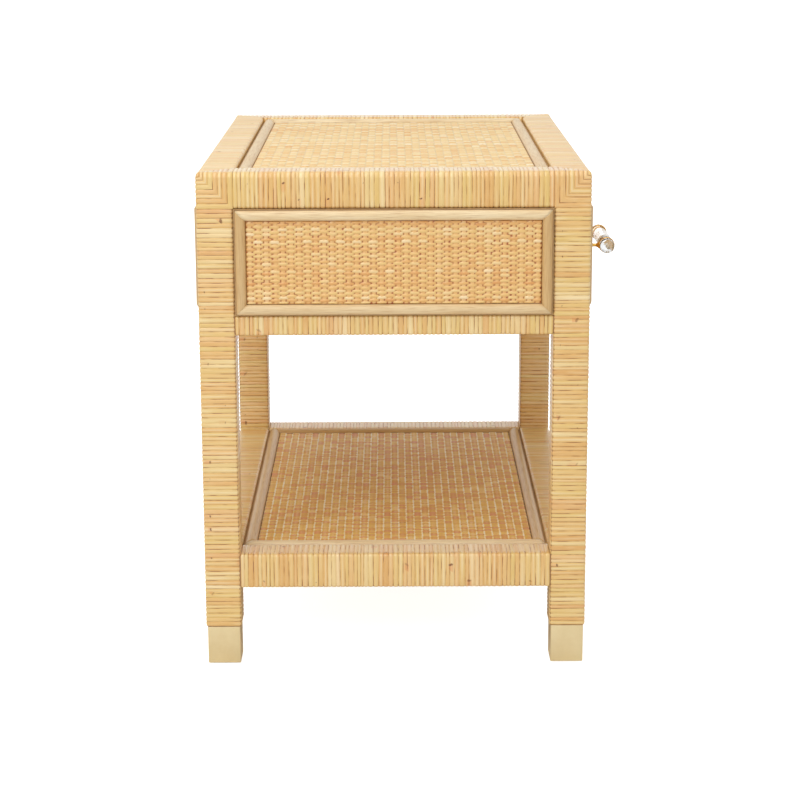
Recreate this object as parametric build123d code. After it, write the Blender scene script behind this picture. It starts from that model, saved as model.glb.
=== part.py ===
from build123d import *
import os

# A rattan-wrapped nightstand: four square posts joined by three levels of rails, a drawer
# compartment under the top, an open bay below it and a low shelf above the floor.
# Millimetres. +X is across the drawer front, -Y is the front, +Z is up, and the floor is z = 0.

# ---- driving dimensions ----
width = 686.0                 # over the leg faces, left to right
depth = 470.0                 # over the leg faces, front to back
height = 615.0                # floor to the top of the top rails
leg = 44.5                    # square leg over its wrap, and the rails' width
wrap = 1.2                    # thickness of the rattan peel
edge_radius = 4.0             # rounding on the outer edges of the wrapped frame
crest_radius = 7.5            # rounding on the outer top edges of the top frame
core_radius = edge_radius - wrap

top_rail = (571.0, 615.0)     # lower and upper faces of each level of rails
drawer_rail = (417.5, 442.0)
shelf_rail = (100.0, 143.5)

tenon_thickness = 12.0
tenon_length = 14.0
tenon_shoulder = 6.0          # how far the tenon stands in from the rail's top and bottom

cap_size = 40.5               # brass foot cap
cap_wall = 1.0
cap_floor = 1.5
cap_edge = 1.5                # rounding on the cap's upright edges
cap_top = 50.0
wrap_bottom = 51.0
glide_radius = 10.0
glide_height = 2.0

board = 12.0                  # top, shelf, side and back boards
webbing = 2.2                 # woven rattan sheet glued to the boards
deck_drop = {"top": 8.0, "shelf": 5.0}      # how far the boards lie below their rails
deck_bead = (15.0, 6.5)       # half-round bead: width, height
deck_gap = 2.0                # groove between rail and bead
panel_inset = 0.5             # upright boards lie this far behind the leg faces
panel_bead = (12.8, 6.8)
panel_gap = 1.4

dust_panel = 6.0
front_thickness = 18.0        # drawer front board
front_gap = 1.5               # clearance round the drawer front
drawer_wall = 12.0
drawer_back_y = 185.0
drawer_low = 452.0
drawer_high = 545.0
bottom_thickness = 6.0
bottom_z = 460.0
groove = 5.0

slide_space = 13.0            # between leg and drawer side, filled by the slide
slide_height = 45.0
slide_sheet = 1.2             # steel thickness
slide_lip = 9.6               # reach of the cabinet member's lips
slide_middle = (3.0, 11.0)    # middle member's web and lips, from the leg face
slide_middle_half = 19.4      # half heights of the middle and the drawer member
slide_inner_lip = 5.6
slide_inner_half = 16.3
slide_middle_short = 5.0      # the middle member stops this far inside both ends
slide_length = 350.0
slide_front = 22.0            # slide's front end, behind the leg faces
slide_z = 498.0
block_height = 40.0           # wooden block that carries the slide between the legs

pull_x = 167.0                # centre of each pull from the drawer's middle
pull_rod_radius = 9.0
pull_rod_length = 126.0
pull_post_spacing = 96.0
pull_reach = 30.6             # rod axis in front of the leg faces
collar_radius = 10.0
collar_width = 6.0
neck_radius = 2.0             # thinnest part of the turned post
screw_radius = 1.5
screw_reach = 7.0             # how far the screw goes into the bracket
screw_head = (4.0, 2.5)       # radius, thickness
plug_radius = 2.0
plug_length = 6.0
plug_proud = 0.5              # how far the brass button stands out of the rod's end

# ---- worked-out places ----
half_w = width / 2
half_d = depth / 2
inner_w = half_w - leg        # inner faces of the legs
inner_d = half_d - leg
core = leg - 2 * wrap
pull_z = (drawer_rail[1] + top_rail[0]) / 2
front_face = -half_d + panel_inset                     # face of the drawer front board
front_reach = half_d + pull_reach + collar_radius      # foremost point, at the pull collars
back_reach = half_d - panel_inset + panel_bead[1]      # rearmost point, at the back beads
middle_y = (front_reach - back_reach) / 2              # centres the whole box on the origin
levels = {"top": top_rail, "drawer": drawer_rail, "shelf": shelf_rail}
corners = {
    "front_left": (-1, -1),
    "front_right": (1, -1),
    "back_left": (-1, 1),
    "back_right": (1, 1),
}
hands = {"left": -1, "right": 1}

os.makedirs("parts", exist_ok=True)


def save(name, *solids):
    """Write one node, moved so that the box of the whole nightstand stands on the origin."""
    placed = [Pos(0, middle_y, 0) * solid for solid in solids]
    shape = placed[0] if len(placed) == 1 else Compound(children=placed)
    export_step(shape, "parts/" + name + ".step")


def block(x, y, z):
    """A box between two limits on each axis, given in either order."""
    sizes = [abs(b - a) for a, b in (x, y, z)]
    middle = [(a + b) / 2 for a, b in (x, y, z)]
    return Pos(*middle) * Box(*sizes)


def long_edges(solid, axis):
    return solid.edges().filter_by(axis)


def same(a, b):
    return abs(a - b) < 0.01


# ---- legs ----
def leg_blank(side, face, half, z, radius, crest):
    """Square post with its outside upright edge rounded, and its outside top edges to crest."""
    x = (side * (half_w - leg / 2 - half), side * (half_w - leg / 2 + half))
    y = (face * (half_d - leg / 2 - half), face * (half_d - leg / 2 + half))
    blank = block(x, y, z)
    upright = [e for e in long_edges(blank, Axis.Z)
               if same(e.center().X, x[1]) and same(e.center().Y, y[1])]
    side_top = [e for e in long_edges(blank, Axis.Y) if same(e.center().Z, z[1]) and same(e.center().X, x[1])]
    face_top = [e for e in long_edges(blank, Axis.X) if same(e.center().Z, z[1]) and same(e.center().Y, y[1])]
    return fillet(upright, radius) & fillet(side_top, crest) & fillet(face_top, crest)


def rail_ends(side, face, reach):
    """The parts of every rail core that meet one leg, each reaching past the joint by reach."""
    ends = []
    for low, high in levels.values():
        z = (low + wrap, high - wrap)
        across = (side * (inner_w - reach), side * (inner_w + wrap))
        along = (face * (inner_d - reach), face * (inner_d + wrap))
        x_band = (side * (half_w - wrap), side * (inner_w + wrap))
        y_band = (face * (half_d - wrap), face * (inner_d + wrap))
        ends.append(block(across, y_band, z))
        ends.append(block(x_band, along, z))
    return ends


def tenons(side, face):
    """Both tenons that enter one leg at each level."""
    half = tenon_thickness / 2
    mid_x = side * (half_w - leg / 2)
    mid_y = face * (half_d - leg / 2)
    inside_x = side * (inner_w + wrap)
    inside_y = face * (inner_d + wrap)
    result = []
    for low, high in levels.values():
        z = (low + tenon_shoulder, high - tenon_shoulder)
        result.append(block((inside_x, inside_x + side * tenon_length), (mid_y - half, mid_y + half), z))
        result.append(block((mid_x - half, mid_x + half), (inside_y, inside_y + face * tenon_length), z))
    return result


caps = []
glides = []
plug_half = cap_size / 2 - cap_wall
for corner, (side, face) in corners.items():
    post = leg_blank(side, face, core / 2, (cap_top, height - wrap), core_radius, crest_radius - wrap)
    centre = (side * (half_w - leg / 2), face * (half_d - leg / 2))
    shank_low = glide_height + cap_floor
    shank = block((centre[0] - plug_half, centre[0] + plug_half),
                  (centre[1] - plug_half, centre[1] + plug_half), (shank_low, cap_top))
    post = post + shank
    for tenon in tenons(side, face):
        post = post - tenon
    save("leg_post_" + corner, post)

    sleeve = leg_blank(side, face, leg / 2, (wrap_bottom, height), edge_radius, crest_radius)
    sleeve = sleeve - leg_blank(side, face, core / 2, (0, height - wrap), core_radius, crest_radius - wrap)
    for end in rail_ends(side, face, wrap):
        sleeve = sleeve - end
    save("leg_wrap_" + corner, sleeve)

    outer = cap_size / 2
    cap = block((centre[0] - outer, centre[0] + outer), (centre[1] - outer, centre[1] + outer),
                (glide_height, cap_top))
    cap = fillet(long_edges(cap, Axis.Z), cap_edge)
    caps.append(cap - shank)
    glides.append(Pos(*centre, glide_height / 2) * Cylinder(glide_radius, glide_height))
save("foot_caps", *caps)
save("floor_glides", *glides)


# ---- rails and their wraps ----
def rail_bar(place, half_length, inset, z, radius, crest):
    """Bar along one side of the frame, its long edges rounded, the outer top one to crest."""
    along = (-half_length, half_length)
    if place in ("front", "back"):
        face = -1 if place == "front" else 1
        outer = face * (half_d - inset)
        bar = block(along, (outer, face * (inner_d + inset)), z)
        axis, across = Axis.X, Axis.Y
    else:
        side = hands[place]
        outer = side * (half_w - inset)
        bar = block((outer, side * (inner_w + inset)), along, z)
        axis, across = Axis.Y, Axis.X

    def is_crest(edge):
        place_across = edge.center().dot(across.direction)
        return same(edge.center().Z, z[1]) and same(place_across, outer)

    bar = fillet([e for e in long_edges(bar, axis) if not is_crest(e)], radius)
    return fillet([e for e in long_edges(bar, axis) if is_crest(e)], crest)


for level, (low, high) in levels.items():
    sleeves = []
    crest = crest_radius if level == "top" else edge_radius
    for place in ("front", "back", "left", "right"):
        clear = inner_w if place in ("front", "back") else inner_d
        rail = rail_bar(place, clear + wrap, wrap, (low + wrap, high - wrap), core_radius, crest - wrap)
        for corner, (side, face) in corners.items():
            if place not in corner:
                continue
            pair = tenons(side, face)
            ours = pair[0::2] if place in ("front", "back") else pair[1::2]
            rail = rail + ours[list(levels).index(level)]
        save(level + "_rail_" + place, rail)
        shell = rail_bar(place, clear, 0, (low, high), edge_radius, crest)
        sleeves.append(shell - rail)
    save(level + "_rail_wraps", *sleeves)


# ---- woven panels: board, webbing sheet and a mitred half-round bead ----
def bead_frame(length, breadth, bead):
    """Four half-round strips with mitred corners, lying on z = 0 round a rectangle."""
    bead_width, bead_height = bead
    strips = []
    for span, offset, turn in ((length, breadth, 0), (breadth, length, 90),
                               (length, breadth, 180), (breadth, length, 270)):
        edge = -offset / 2
        profile = Plane.YZ * make_face([
            ThreePointArc((edge, 0), (edge + bead_width / 2, bead_height), (edge + bead_width, 0)),
            Line((edge + bead_width, 0), (edge, 0)),
        ])
        strip = Pos(-span / 2, 0, 0) * extrude(profile, span, dir=(1, 0, 0))
        mitre = make_face(Polyline(
            (-span / 2, edge), (span / 2, edge), (span / 2 - bead_width, edge + bead_width),
            (-span / 2 + bead_width, edge + bead_width), close=True,
        ))
        strips.append(Rot(0, 0, turn) * (strip & extrude(mitre, bead_height + 1)))
    return strips


def panel(name, plane, length, breadth, bead, gap, thickness, holes=()):
    """Panel whose board face lies on the plane, with its webbing and beads standing on it."""
    rim = gap + bead[0]
    base = Pos(0, 0, -thickness / 2) * Box(length, breadth, thickness)
    sheet = Pos(0, 0, webbing / 2) * Box(length - 2 * rim, breadth - 2 * rim, webbing)
    for hole in holes:
        base = base - hole
        sheet = sheet - hole
    save(name + "_board", plane.location * base)
    save(name + "_webbing", plane.location * sheet)
    beads = bead_frame(length - 2 * gap, breadth - 2 * gap, bead)
    save(name + "_beads", *[plane.location * strip for strip in beads])


opening_low = drawer_rail[1]
opening_high = top_rail[0]
opening = opening_high - opening_low
opening_mid = (opening_low + opening_high) / 2
for name, high in (("top", top_rail[1]), ("shelf", shelf_rail[1])):
    deck = Plane(origin=(0, 0, high - deck_drop[name]), x_dir=(1, 0, 0), z_dir=(0, 0, 1))
    panel(name, deck, 2 * inner_w, 2 * inner_d, deck_bead, deck_gap, board)
for hand, side in hands.items():
    face_x = side * (half_w - panel_inset)
    wall = Plane(origin=(face_x, 0, opening_mid), x_dir=(0, 1, 0), z_dir=(side, 0, 0))
    panel("side_" + hand, wall, 2 * inner_d, opening, panel_bead, panel_gap, board)
rear = Plane(origin=(0, half_d - panel_inset, opening_mid), x_dir=(1, 0, 0), z_dir=(0, 1, 0))
panel("back", rear, 2 * inner_w, opening, panel_bead, panel_gap, board)

# ---- compartment floor, and the blocks that carry the drawer slides ----
save("compartment_floor",
     block((-inner_w, inner_w), (-inner_d, inner_d), (opening_low - dust_panel, opening_low)))
blocks = []
for side in hands.values():
    x = (side * inner_w, side * (half_w - panel_inset - board))
    z = (slide_z - block_height / 2, slide_z + block_height / 2)
    blocks.append(block(x, (-inner_d, inner_d), z))
save("runner_blocks", *blocks)


# ---- telescopic slides ----
def channel(side, web, lip, half_height, y):
    """C-shaped steel strip. web and lip are distances from the leg face towards the drawer."""
    x_web = (side * (inner_w - web[0]), side * (inner_w - web[1]))
    x_lip = (side * (inner_w - lip[0]), side * (inner_w - lip[1]))
    solid = block(x_web, y, (slide_z - half_height, slide_z + half_height))
    for end in (-1, 1):
        z = (slide_z + end * half_height, slide_z + end * (half_height - slide_sheet))
        solid = solid + block(x_lip, y, z)
    return solid


slide_start = -half_d + slide_front
slide_y = (slide_start, slide_start + slide_length)
middle_span = (slide_start + slide_middle_short, slide_start + slide_length - slide_middle_short)
for hand, side in hands.items():
    cabinet = channel(side, (0, slide_sheet), (0, slide_lip), slide_height / 2, slide_y)
    middle_web = (slide_middle[0], slide_middle[0] + slide_sheet)
    middle = channel(side, middle_web, slide_middle, slide_middle_half, middle_span)
    inner_web = (slide_space - slide_sheet, slide_space)
    inner = channel(side, inner_web, (slide_inner_lip, slide_space), slide_inner_half, slide_y)
    save("slide_cabinet_member_" + hand, cabinet)
    save("slide_middle_member_" + hand, middle)
    save("slide_drawer_member_" + hand, inner)

# ---- drawer box ----
box_w = inner_w - slide_space
front_back_y = front_face + front_thickness
bottom = block((-box_w + drawer_wall - groove, box_w - drawer_wall + groove),
               (front_back_y - groove, drawer_back_y), (bottom_z, bottom_z + bottom_thickness))
for hand, side in hands.items():
    wall = block((side * box_w, side * (box_w - drawer_wall)), (front_back_y, drawer_back_y),
                 (drawer_low, drawer_high))
    save("drawer_side_" + hand, wall - bottom)
save("drawer_bottom", bottom)
save("drawer_back", block((-box_w + drawer_wall, box_w - drawer_wall),
                          (drawer_back_y - drawer_wall, drawer_back_y),
                          (bottom_z + bottom_thickness, drawer_high)))

# ---- pulls: a clear rod held by two turned brackets, each screwed on from inside ----
post_places = [sign * pull_x + end * pull_post_spacing / 2 for sign in (-1, 1) for end in (-1, 1)]
rod_y = -half_d - pull_reach
sheet_y = front_face - webbing
post_length = abs(rod_y - sheet_y)

rods = []
plugs = []
for sign in (-1, 1):
    rod = Rot(0, 90, 0) * Cylinder(pull_rod_radius, pull_rod_length)
    for end in (-1, 1):
        inside = end * (pull_rod_length / 2 - plug_length / 2)
        rod = rod - Pos(inside, 0, 0) * Rot(0, 90, 0) * Cylinder(plug_radius, plug_length)
        button = Rot(0, 90, 0) * Cylinder(plug_radius, plug_length + plug_proud)
        button = Pos(inside + end * plug_proud / 2, 0, 0) * button
        plugs.append(Pos(sign * pull_x, rod_y, pull_z) * button)
    rods.append(Pos(sign * pull_x, rod_y, pull_z) * rod)
save("pull_rods", *rods)
save("pull_end_plugs", *plugs)

rod_back = post_length - pull_rod_radius        # where the post meets the rod
bracket_profile = make_face(Polyline(
    (0, 0), (6.5, 0), (6.5, 1.2), (4.0, 2.6), (2.6, 5.0), (2.6, 8.0), (neck_radius, 10.0),
    (neck_radius, rod_back - 4.5), (3.2, rod_back - 2.0), (4.6, rod_back), (4.6, post_length),
    (0, post_length), close=True,
))
bracket_stem = revolve(Plane.XZ * bracket_profile, Axis.Z)
brackets = []
screws = []
front_board_holes = []
for x in post_places:
    stem = Pos(x, sheet_y, pull_z) * Rot(90, 0, 0) * bracket_stem
    ring = Pos(x, rod_y, pull_z) * Rot(0, 90, 0) * Cylinder(collar_radius, collar_width)
    bore = Pos(x, rod_y, pull_z) * Rot(0, 90, 0) * Cylinder(pull_rod_radius, pull_rod_length)
    shank_y = (front_back_y, sheet_y - screw_reach)
    shank_length = abs(shank_y[1] - shank_y[0])
    shank = Pos(x, sum(shank_y) / 2, pull_z) * Rot(90, 0, 0) * Cylinder(screw_radius, shank_length)
    head = Pos(x, front_back_y + screw_head[1] / 2, pull_z) * Rot(90, 0, 0) * Cylinder(*screw_head)
    brackets.append(stem + ring - bore - shank)
    screws.append(shank + head)
    front_board_holes.append(Pos(x, 0, 0) * Cylinder(screw_radius, 4 * front_thickness))
save("pull_brackets", *brackets)
save("pull_screws", *screws)

front = Plane(origin=(0, front_face, opening_mid), x_dir=(1, 0, 0), z_dir=(0, -1, 0))
bottom_groove = front.location.inverse() * bottom
panel("drawer_front", front, 2 * (inner_w - front_gap), opening - 2 * front_gap, panel_bead, 0,
      front_thickness, holes=front_board_holes + [bottom_groove])
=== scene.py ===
import math
import bpy
import numpy as np
from mathutils import Matrix, Vector


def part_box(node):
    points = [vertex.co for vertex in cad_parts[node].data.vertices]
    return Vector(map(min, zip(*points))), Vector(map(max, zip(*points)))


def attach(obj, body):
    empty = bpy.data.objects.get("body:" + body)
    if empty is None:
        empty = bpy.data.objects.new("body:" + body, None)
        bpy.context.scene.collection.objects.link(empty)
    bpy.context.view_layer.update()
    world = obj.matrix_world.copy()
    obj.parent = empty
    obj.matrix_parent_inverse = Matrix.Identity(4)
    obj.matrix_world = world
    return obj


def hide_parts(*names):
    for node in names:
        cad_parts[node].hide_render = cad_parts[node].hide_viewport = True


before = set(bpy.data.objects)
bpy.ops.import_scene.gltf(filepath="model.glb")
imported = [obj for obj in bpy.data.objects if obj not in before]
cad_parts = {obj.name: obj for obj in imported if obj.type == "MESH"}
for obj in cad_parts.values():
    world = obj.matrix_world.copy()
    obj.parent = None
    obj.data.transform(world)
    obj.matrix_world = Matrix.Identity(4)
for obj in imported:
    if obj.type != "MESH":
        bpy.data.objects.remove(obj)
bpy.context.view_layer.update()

# A rattan-wrapped nightstand. Every skin that shows is a surface worked out here on a grid:
# peel strips wound round posts and rails, woven sheets, half-round beads, turned brass.
# All lengths are metres in the frame of the CAD model, and all colours are sRGB, 0 to 255.

scene = bpy.context.scene
mm = 0.001
corners = ("front_left", "front_right", "back_left", "back_right")
places = ("front", "back", "left", "right")
levels = ("top", "drawer", "shelf")
axisX, axisY, axisZ = np.eye(3)
seeds = {"legs": 40, "rails": 60, "panels": 80}


def cadSpan(node):
    low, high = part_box(node)
    return np.array(low), np.array(high)


def between(edges, steps):
    # Grid lines at the given shares of each gap between the edges, with the last edge at the end.
    inner = edges[:-1, None] * (1 - steps) + edges[1:, None] * steps
    return np.append(inner.reshape(-1), edges[-1])


def easeIn(x):
    return x * x * (3 - 2 * x)


def lip(away):
    # Half an ellipse over the places from -1 to 1.
    return np.sqrt(np.clip(1 - away ** 2, 0, 1))


def spread(*grids):
    # Two coordinate grids side by side, each stretched to the full size.
    return np.stack(np.broadcast_arrays(*grids), -1)


# Meshes.
def patch(points, uv, wrapRows=False, wrapCols=False, values=None):
    # A grid of points becomes quads (row, col), (row, col+1), (row+1, col+1), (row+1, col). Where a
    # direction wraps round, the last line joins the first, and uv has one line more than points.
    rows, cols = points.shape[:2]
    r, c = np.meshgrid(np.arange(rows - (not wrapRows)), np.arange(cols - (not wrapCols)), indexing="ij")
    rNext, cNext = (r + 1) % rows, (c + 1) % cols
    quads = np.stack([r * cols + c, r * cols + cNext, rNext * cols + cNext, rNext * cols + c], -1)
    corner = np.stack([uv[r, c], uv[r, c + 1], uv[r + 1, c + 1], uv[r + 1, c]], -2)
    return {"points": points.reshape(-1, 3), "quads": quads.reshape(-1, 4), "uv": corner.reshape(-1, 4, 2),
            "values": {key: value.reshape(-1) for key, value in (values or {}).items()}, "rings": []}


def closeEnds(piece, points):
    # Flat lids over the first and the last ring of a tube.
    rows, cols = points.shape[:2]
    first = np.arange(cols)
    piece["rings"] += [first[::-1], first + (rows - 1) * cols]
    return piece


def weld(piece, tolerance=1e-6):
    # Points closer than the tolerance become one, so that seams between patches close.
    key = np.round(piece["points"] / tolerance).astype(np.int64)
    _, first, inverse = np.unique(key, axis=0, return_index=True, return_inverse=True)
    inverse = inverse.reshape(-1)
    piece["points"] = piece["points"][first]
    piece["values"] = {key: value[first] for key, value in piece["values"].items()}
    quads = inverse[piece["quads"]]
    repeats = (np.diff(np.sort(quads, axis=1), axis=1) == 0).sum(axis=1)
    keep = repeats < 2      # a quad with fewer than three different corners is no face
    piece["quads"], piece["uv"] = quads[keep], piece["uv"][keep]
    piece["rings"] = [inverse[ring] for ring in piece["rings"]]
    return piece


def joinPatches(patches):
    starts = np.cumsum([0] + [len(p["points"]) for p in patches])
    whole = {key: np.concatenate([p[key] for p in patches]) for key in ("points", "uv")}
    whole["quads"] = np.concatenate([p["quads"] + start for p, start in zip(patches, starts)])
    whole["rings"] = [ring + start for p, start in zip(patches, starts) for ring in p["rings"]]
    keys = patches[0]["values"]
    whole["values"] = {key: np.concatenate([p["values"][key] for p in patches]) for key in keys}
    return whole


def makeObject(name, piece, material):
    quads, rings = piece["quads"], piece["rings"]
    corner = np.concatenate([quads.reshape(-1)] + rings).astype(np.int32)
    sizes = np.array([4] * len(quads) + [len(ring) for ring in rings], np.int32)
    starts = np.concatenate([[0], np.cumsum(sizes)[:-1]]).astype(np.int32)
    mesh = bpy.data.meshes.new(name)
    mesh.vertices.add(len(piece["points"]))
    mesh.vertices.foreach_set("co", piece["points"].astype(np.float32).reshape(-1))
    mesh.loops.add(len(corner))
    mesh.loops.foreach_set("vertex_index", corner)
    mesh.polygons.add(len(sizes))
    mesh.polygons.foreach_set("loop_start", starts)
    uv = np.zeros((len(corner), 2), np.float32)
    uv[:quads.size] = piece["uv"].reshape(-1, 2)
    mesh.uv_layers.new(name="surface").uv.foreach_set("vector", uv.reshape(-1))
    mesh.polygons.foreach_set("use_smooth", np.arange(len(sizes)) < len(quads))
    for key, value in piece["values"].items():
        mesh.attributes.new(key, "FLOAT", "POINT").data.foreach_set("value", value.astype(np.float32))
    mesh.update(calc_edges=True)
    mesh.validate()
    mesh.materials.append(material)
    obj = bpy.data.objects.new(name, mesh)
    scene.collection.objects.link(obj)
    return obj


def addPiece(name, patches, material, node, body="carcass"):
    obj = makeObject(name, joinPatches(patches), material)
    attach(obj, body)
    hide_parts(node)


# Materials. A range is (from low, from high, to low, to high), for rescale, and a tone may come
# with the range over which it shows.
def tint(colour):
    # Linear red, green, blue and alpha from the sRGB curve.
    srgb = np.array(colour) / 255
    linear = np.where(srgb <= 0.04045, srgb / 12.92, ((srgb + 0.055) / 1.055) ** 2.4)
    return (*linear.tolist(), 1.0)


drawing = {"tree": None}      # the node tree that nodes are being added to


def connect(sockets, values):
    # Each value, from a node or a constant, goes to the socket of that name or number.
    for key, value in values.items():
        if isinstance(value, bpy.types.NodeSocket):
            drawing["tree"].links.new(value, sockets[key])
        else:
            sockets[key].default_value = value


def addNode(kind, inputs=None, **settings):
    node = drawing["tree"].nodes.new("ShaderNode" + kind)
    for key, value in settings.items():
        setattr(node, key, value)
    connect(node.inputs, inputs or {})
    return node


def calc(operation, a, b=0.0):
    return addNode("Math", {0: a, 1: b}, operation=operation).outputs[0]


def times(a, b):
    return calc("MULTIPLY", a, b)


def plus(a, b):
    return calc("ADD", a, b)


def rescale(value, fromLow, fromHigh, toLow=0.0, toHigh=1.0, smooth=False):
    ends = {"Value": value, "From Min": fromLow, "From Max": fromHigh, "To Min": toLow, "To Max": toHigh}
    kind = "SMOOTHSTEP" if smooth else "LINEAR"
    return addNode("MapRange", ends, interpolation_type=kind).outputs["Result"]


def mixColour(factor, a, b):
    # a and b are sockets or plain colours.
    a, b = (tint(colour) if isinstance(colour, tuple) else colour for colour in (a, b))
    return addNode("Mix", {"Factor": factor, 6: a, 7: b}, data_type="RGBA").outputs[2]


def shadeBy(colour, value, tone, *ends):
    # The colour turns to the tone as the value goes over the range.
    return mixColour(rescale(value, *ends), colour, tone)


def colourRamp(value, places, tones):
    node = addNode("ValToRGB", {"Fac": value})
    ramp = node.color_ramp
    while len(ramp.elements) < len(tones):
        ramp.elements.new(0.5)
    for element, place, tone in zip(ramp.elements, places, tones):
        element.position = place
        element.color = tint(tone)
    return node.outputs["Color"]


def separate(vector):
    return addNode("SeparateXYZ", {0: vector}).outputs


def combine(x, y, z=0.0):
    return addNode("CombineXYZ", {0: x, 1: y, 2: z}).outputs[0]


def stretch(parts, factors):
    # A place whose parts are each multiplied by a factor.
    return combine(*(times(part, factor) for part, factor in zip(parts, factors)))


def noise(vector, scale=1.0, detail=3.0, roughness=0.55):
    inputs = {"Vector": vector, "Scale": scale, "Detail": detail, "Roughness": roughness}
    return addNode("TexNoise", inputs).outputs["Fac"]


def solidPlace():
    return addNode("TexCoord").outputs["Object"]


def surfacePlace():
    return addNode("UVMap", uv_map="surface").outputs[0]


def pointValue(name):
    return addNode("Attribute", attribute_name=name).outputs["Fac"]


def newGroup(name, inputs, outputs):
    # Gives the group, the sockets on its two sides and the parts of its place.
    group = bpy.data.node_groups.new(name, "ShaderNodeTree")
    group.interface.new_socket(name="Place", in_out="INPUT", socket_type="NodeSocketVector")
    for label, default in inputs.items():
        socket = group.interface.new_socket(name=label, in_out="INPUT", socket_type="NodeSocketFloat")
        socket.default_value = default
    for label in outputs:
        group.interface.new_socket(name=label, in_out="OUTPUT", socket_type="NodeSocketFloat")
    drawing["tree"] = group
    entry = group.nodes.new("NodeGroupInput").outputs
    leave = group.nodes.new("NodeGroupOutput").inputs
    return group, entry, leave, separate(entry["Place"])


def makeFibreGroup():
    # Streaks that run with the strand: noise stretched along the first coordinate.
    inputs = {"Along": 40.0, "Across": 900.0}
    group, entry, leave, parts = newGroup("fibreStreaks", inputs, ("Streak", "Fine"))
    along, across = times(parts[0], entry["Along"]), times(parts[1], entry["Across"])
    finer = 3.0
    fine = combine(times(along, finer), times(across, finer), parts[2])
    broad = combine(along, across, parts[2])
    connect(leave, {"Streak": noise(broad, 1.0, 4.0, 0.6), "Fine": noise(fine, 1.0, 2.0, 0.5)})
    return group


knotShape = {
    "cellLong": 20.5 * mm,      # one leaf scar at most in this length
    "cellStrips": 3.1,      # and this many strips
    "stripWidth": 5.3 * mm,
    "markLong": (0.6 * mm, 2.0 * mm),    # half a small and half a large mark, along the strip
    "markWide": (0.9 * mm, 3.4 * mm),    # and across it
    "markFade": (1.15, 0.6),
    "markStrength": (0.35, 1.0),
    "slant": 0.7,
    "ragged": 1.6 * mm,      # how far its edge is torn
    "raggedFine": 700.0,
    "raggedWide": 0.6,
    "stainAway": 5 * mm,      # from the mark to the middle of its stain
    "stainFade": (9 * mm, 2 * mm),
    "stainGrown": 0.6,
}


def makeKnotGroup():
    # Scars where leaves grew: scattered cells, each with one brown mark lying across the strip and
    # a warm stain that runs a little way along the same strip. Sizes and strengths differ by cell.
    look = knotShape
    group, entry, leave, parts = newGroup("peelKnots", {"Amount": 0.5}, ("Mark", "Stain"))
    cellLong, cellStrips, width = (look[key] for key in ("cellLong", "cellStrips", "stripWidth"))
    x, y = calc("DIVIDE", parts[0], cellLong), calc("DIVIDE", parts[1], cellStrips)
    cell = addNode("TexVoronoi", {"Vector": combine(x, y), "Scale": 1.0},
                   voronoi_dimensions="2D").outputs
    centre = separate(cell["Position"])
    draw = addNode("SeparateColor", {0: cell["Color"]}).outputs
    away = times(calc("SUBTRACT", x, centre[0]), cellLong)
    side = times(calc("SUBTRACT", y, centre[1]), cellStrips * width)
    grown = times(draw[2], draw[2])
    torn = noise(combine(parts[0], times(parts[1], width)), look["raggedFine"])
    torn = rescale(torn, 0.0, 1.0, -look["ragged"], look["ragged"])
    slant = times(side, rescale(draw[1], 0.0, 1.0, -look["slant"], look["slant"]))
    markLong = calc("DIVIDE", plus(plus(away, slant), torn),
                    rescale(grown, 0.0, 1.0, *look["markLong"]))
    markWide = calc("DIVIDE", plus(side, times(torn, look["raggedWide"])),
                    rescale(grown, 0.0, 1.0, *look["markWide"]))
    square = plus(times(markLong, markLong), times(markWide, markWide))
    reach = calc("SQRT", square)
    chosen = calc("LESS_THAN", draw[0], entry["Amount"])
    mark = times(rescale(reach, *look["markFade"], smooth=True), chosen)
    strength = rescale(draw[1], 0.0, 1.0, *look["markStrength"])
    sameStrip = calc("LESS_THAN", calc("ABSOLUTE", side), width / 2)
    trailing = calc("ABSOLUTE", plus(plus(away, torn), look["stainAway"]))
    stain = times(rescale(trailing, *look["stainFade"], smooth=True), sameStrip)
    stain = times(times(stain, chosen), rescale(grown, 0.0, look["stainGrown"]))
    connect(leave, {"Mark": times(mark, strength), "Stain": stain})
    return group


grainShape = {
    "wave": (1.6, 11.0, 11.0),      # how fast the rings bend along and across the grain
    "bend": 0.22,
    "pores": (60.0, 1500.0, 1500.0),
}


def makeGrainGroup():
    # Wood grain along the first coordinate: wavy rings cut by a plane, with fine pores.
    group, entry, leave, parts = newGroup("woodGrain", {"Ring": 60.0}, ("Rings", "Pores"))
    bend = times(noise(stretch(parts, grainShape["wave"])), grainShape["bend"])
    phase = times(plus(parts[1], bend), entry["Ring"])
    wave = calc("SINE", times(phase, 2 * math.pi))
    pores = noise(stretch(parts, grainShape["pores"]), 1.0, 2.0)
    connect(leave, {"Rings": rescale(wave, -1.0, 1.0), "Pores": pores})
    return group


def makeWearGroup():
    # Hand marks and soft rubbing on polished parts.
    group, entry, leave, parts = newGroup("handling", {"Size": 60.0}, ("Smudge", "Hairline"))
    hairline = noise(stretch(parts, (120.0, 120.0, 9000.0)), 1.0, 2.0)
    connect(leave, {"Smudge": noise(entry["Place"], entry["Size"], 4.0, 0.6), "Hairline": hairline})
    return group


fibreGroup = makeFibreGroup()
knotGroup = makeKnotGroup()
grainGroup = makeGrainGroup()
wearGroup = makeWearGroup()


def useGroup(group, **inputs):
    return addNode("Group", inputs, node_tree=group).outputs


def startMaterial(name, shaderValues=None):
    # Gives the material and its shader's sockets.
    material = bpy.data.materials.new(name)
    material.use_nodes = True
    drawing["tree"] = material.node_tree
    sockets = material.node_tree.nodes["Principled BSDF"].inputs
    connect(sockets, shaderValues or {})
    return material, sockets


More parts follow.
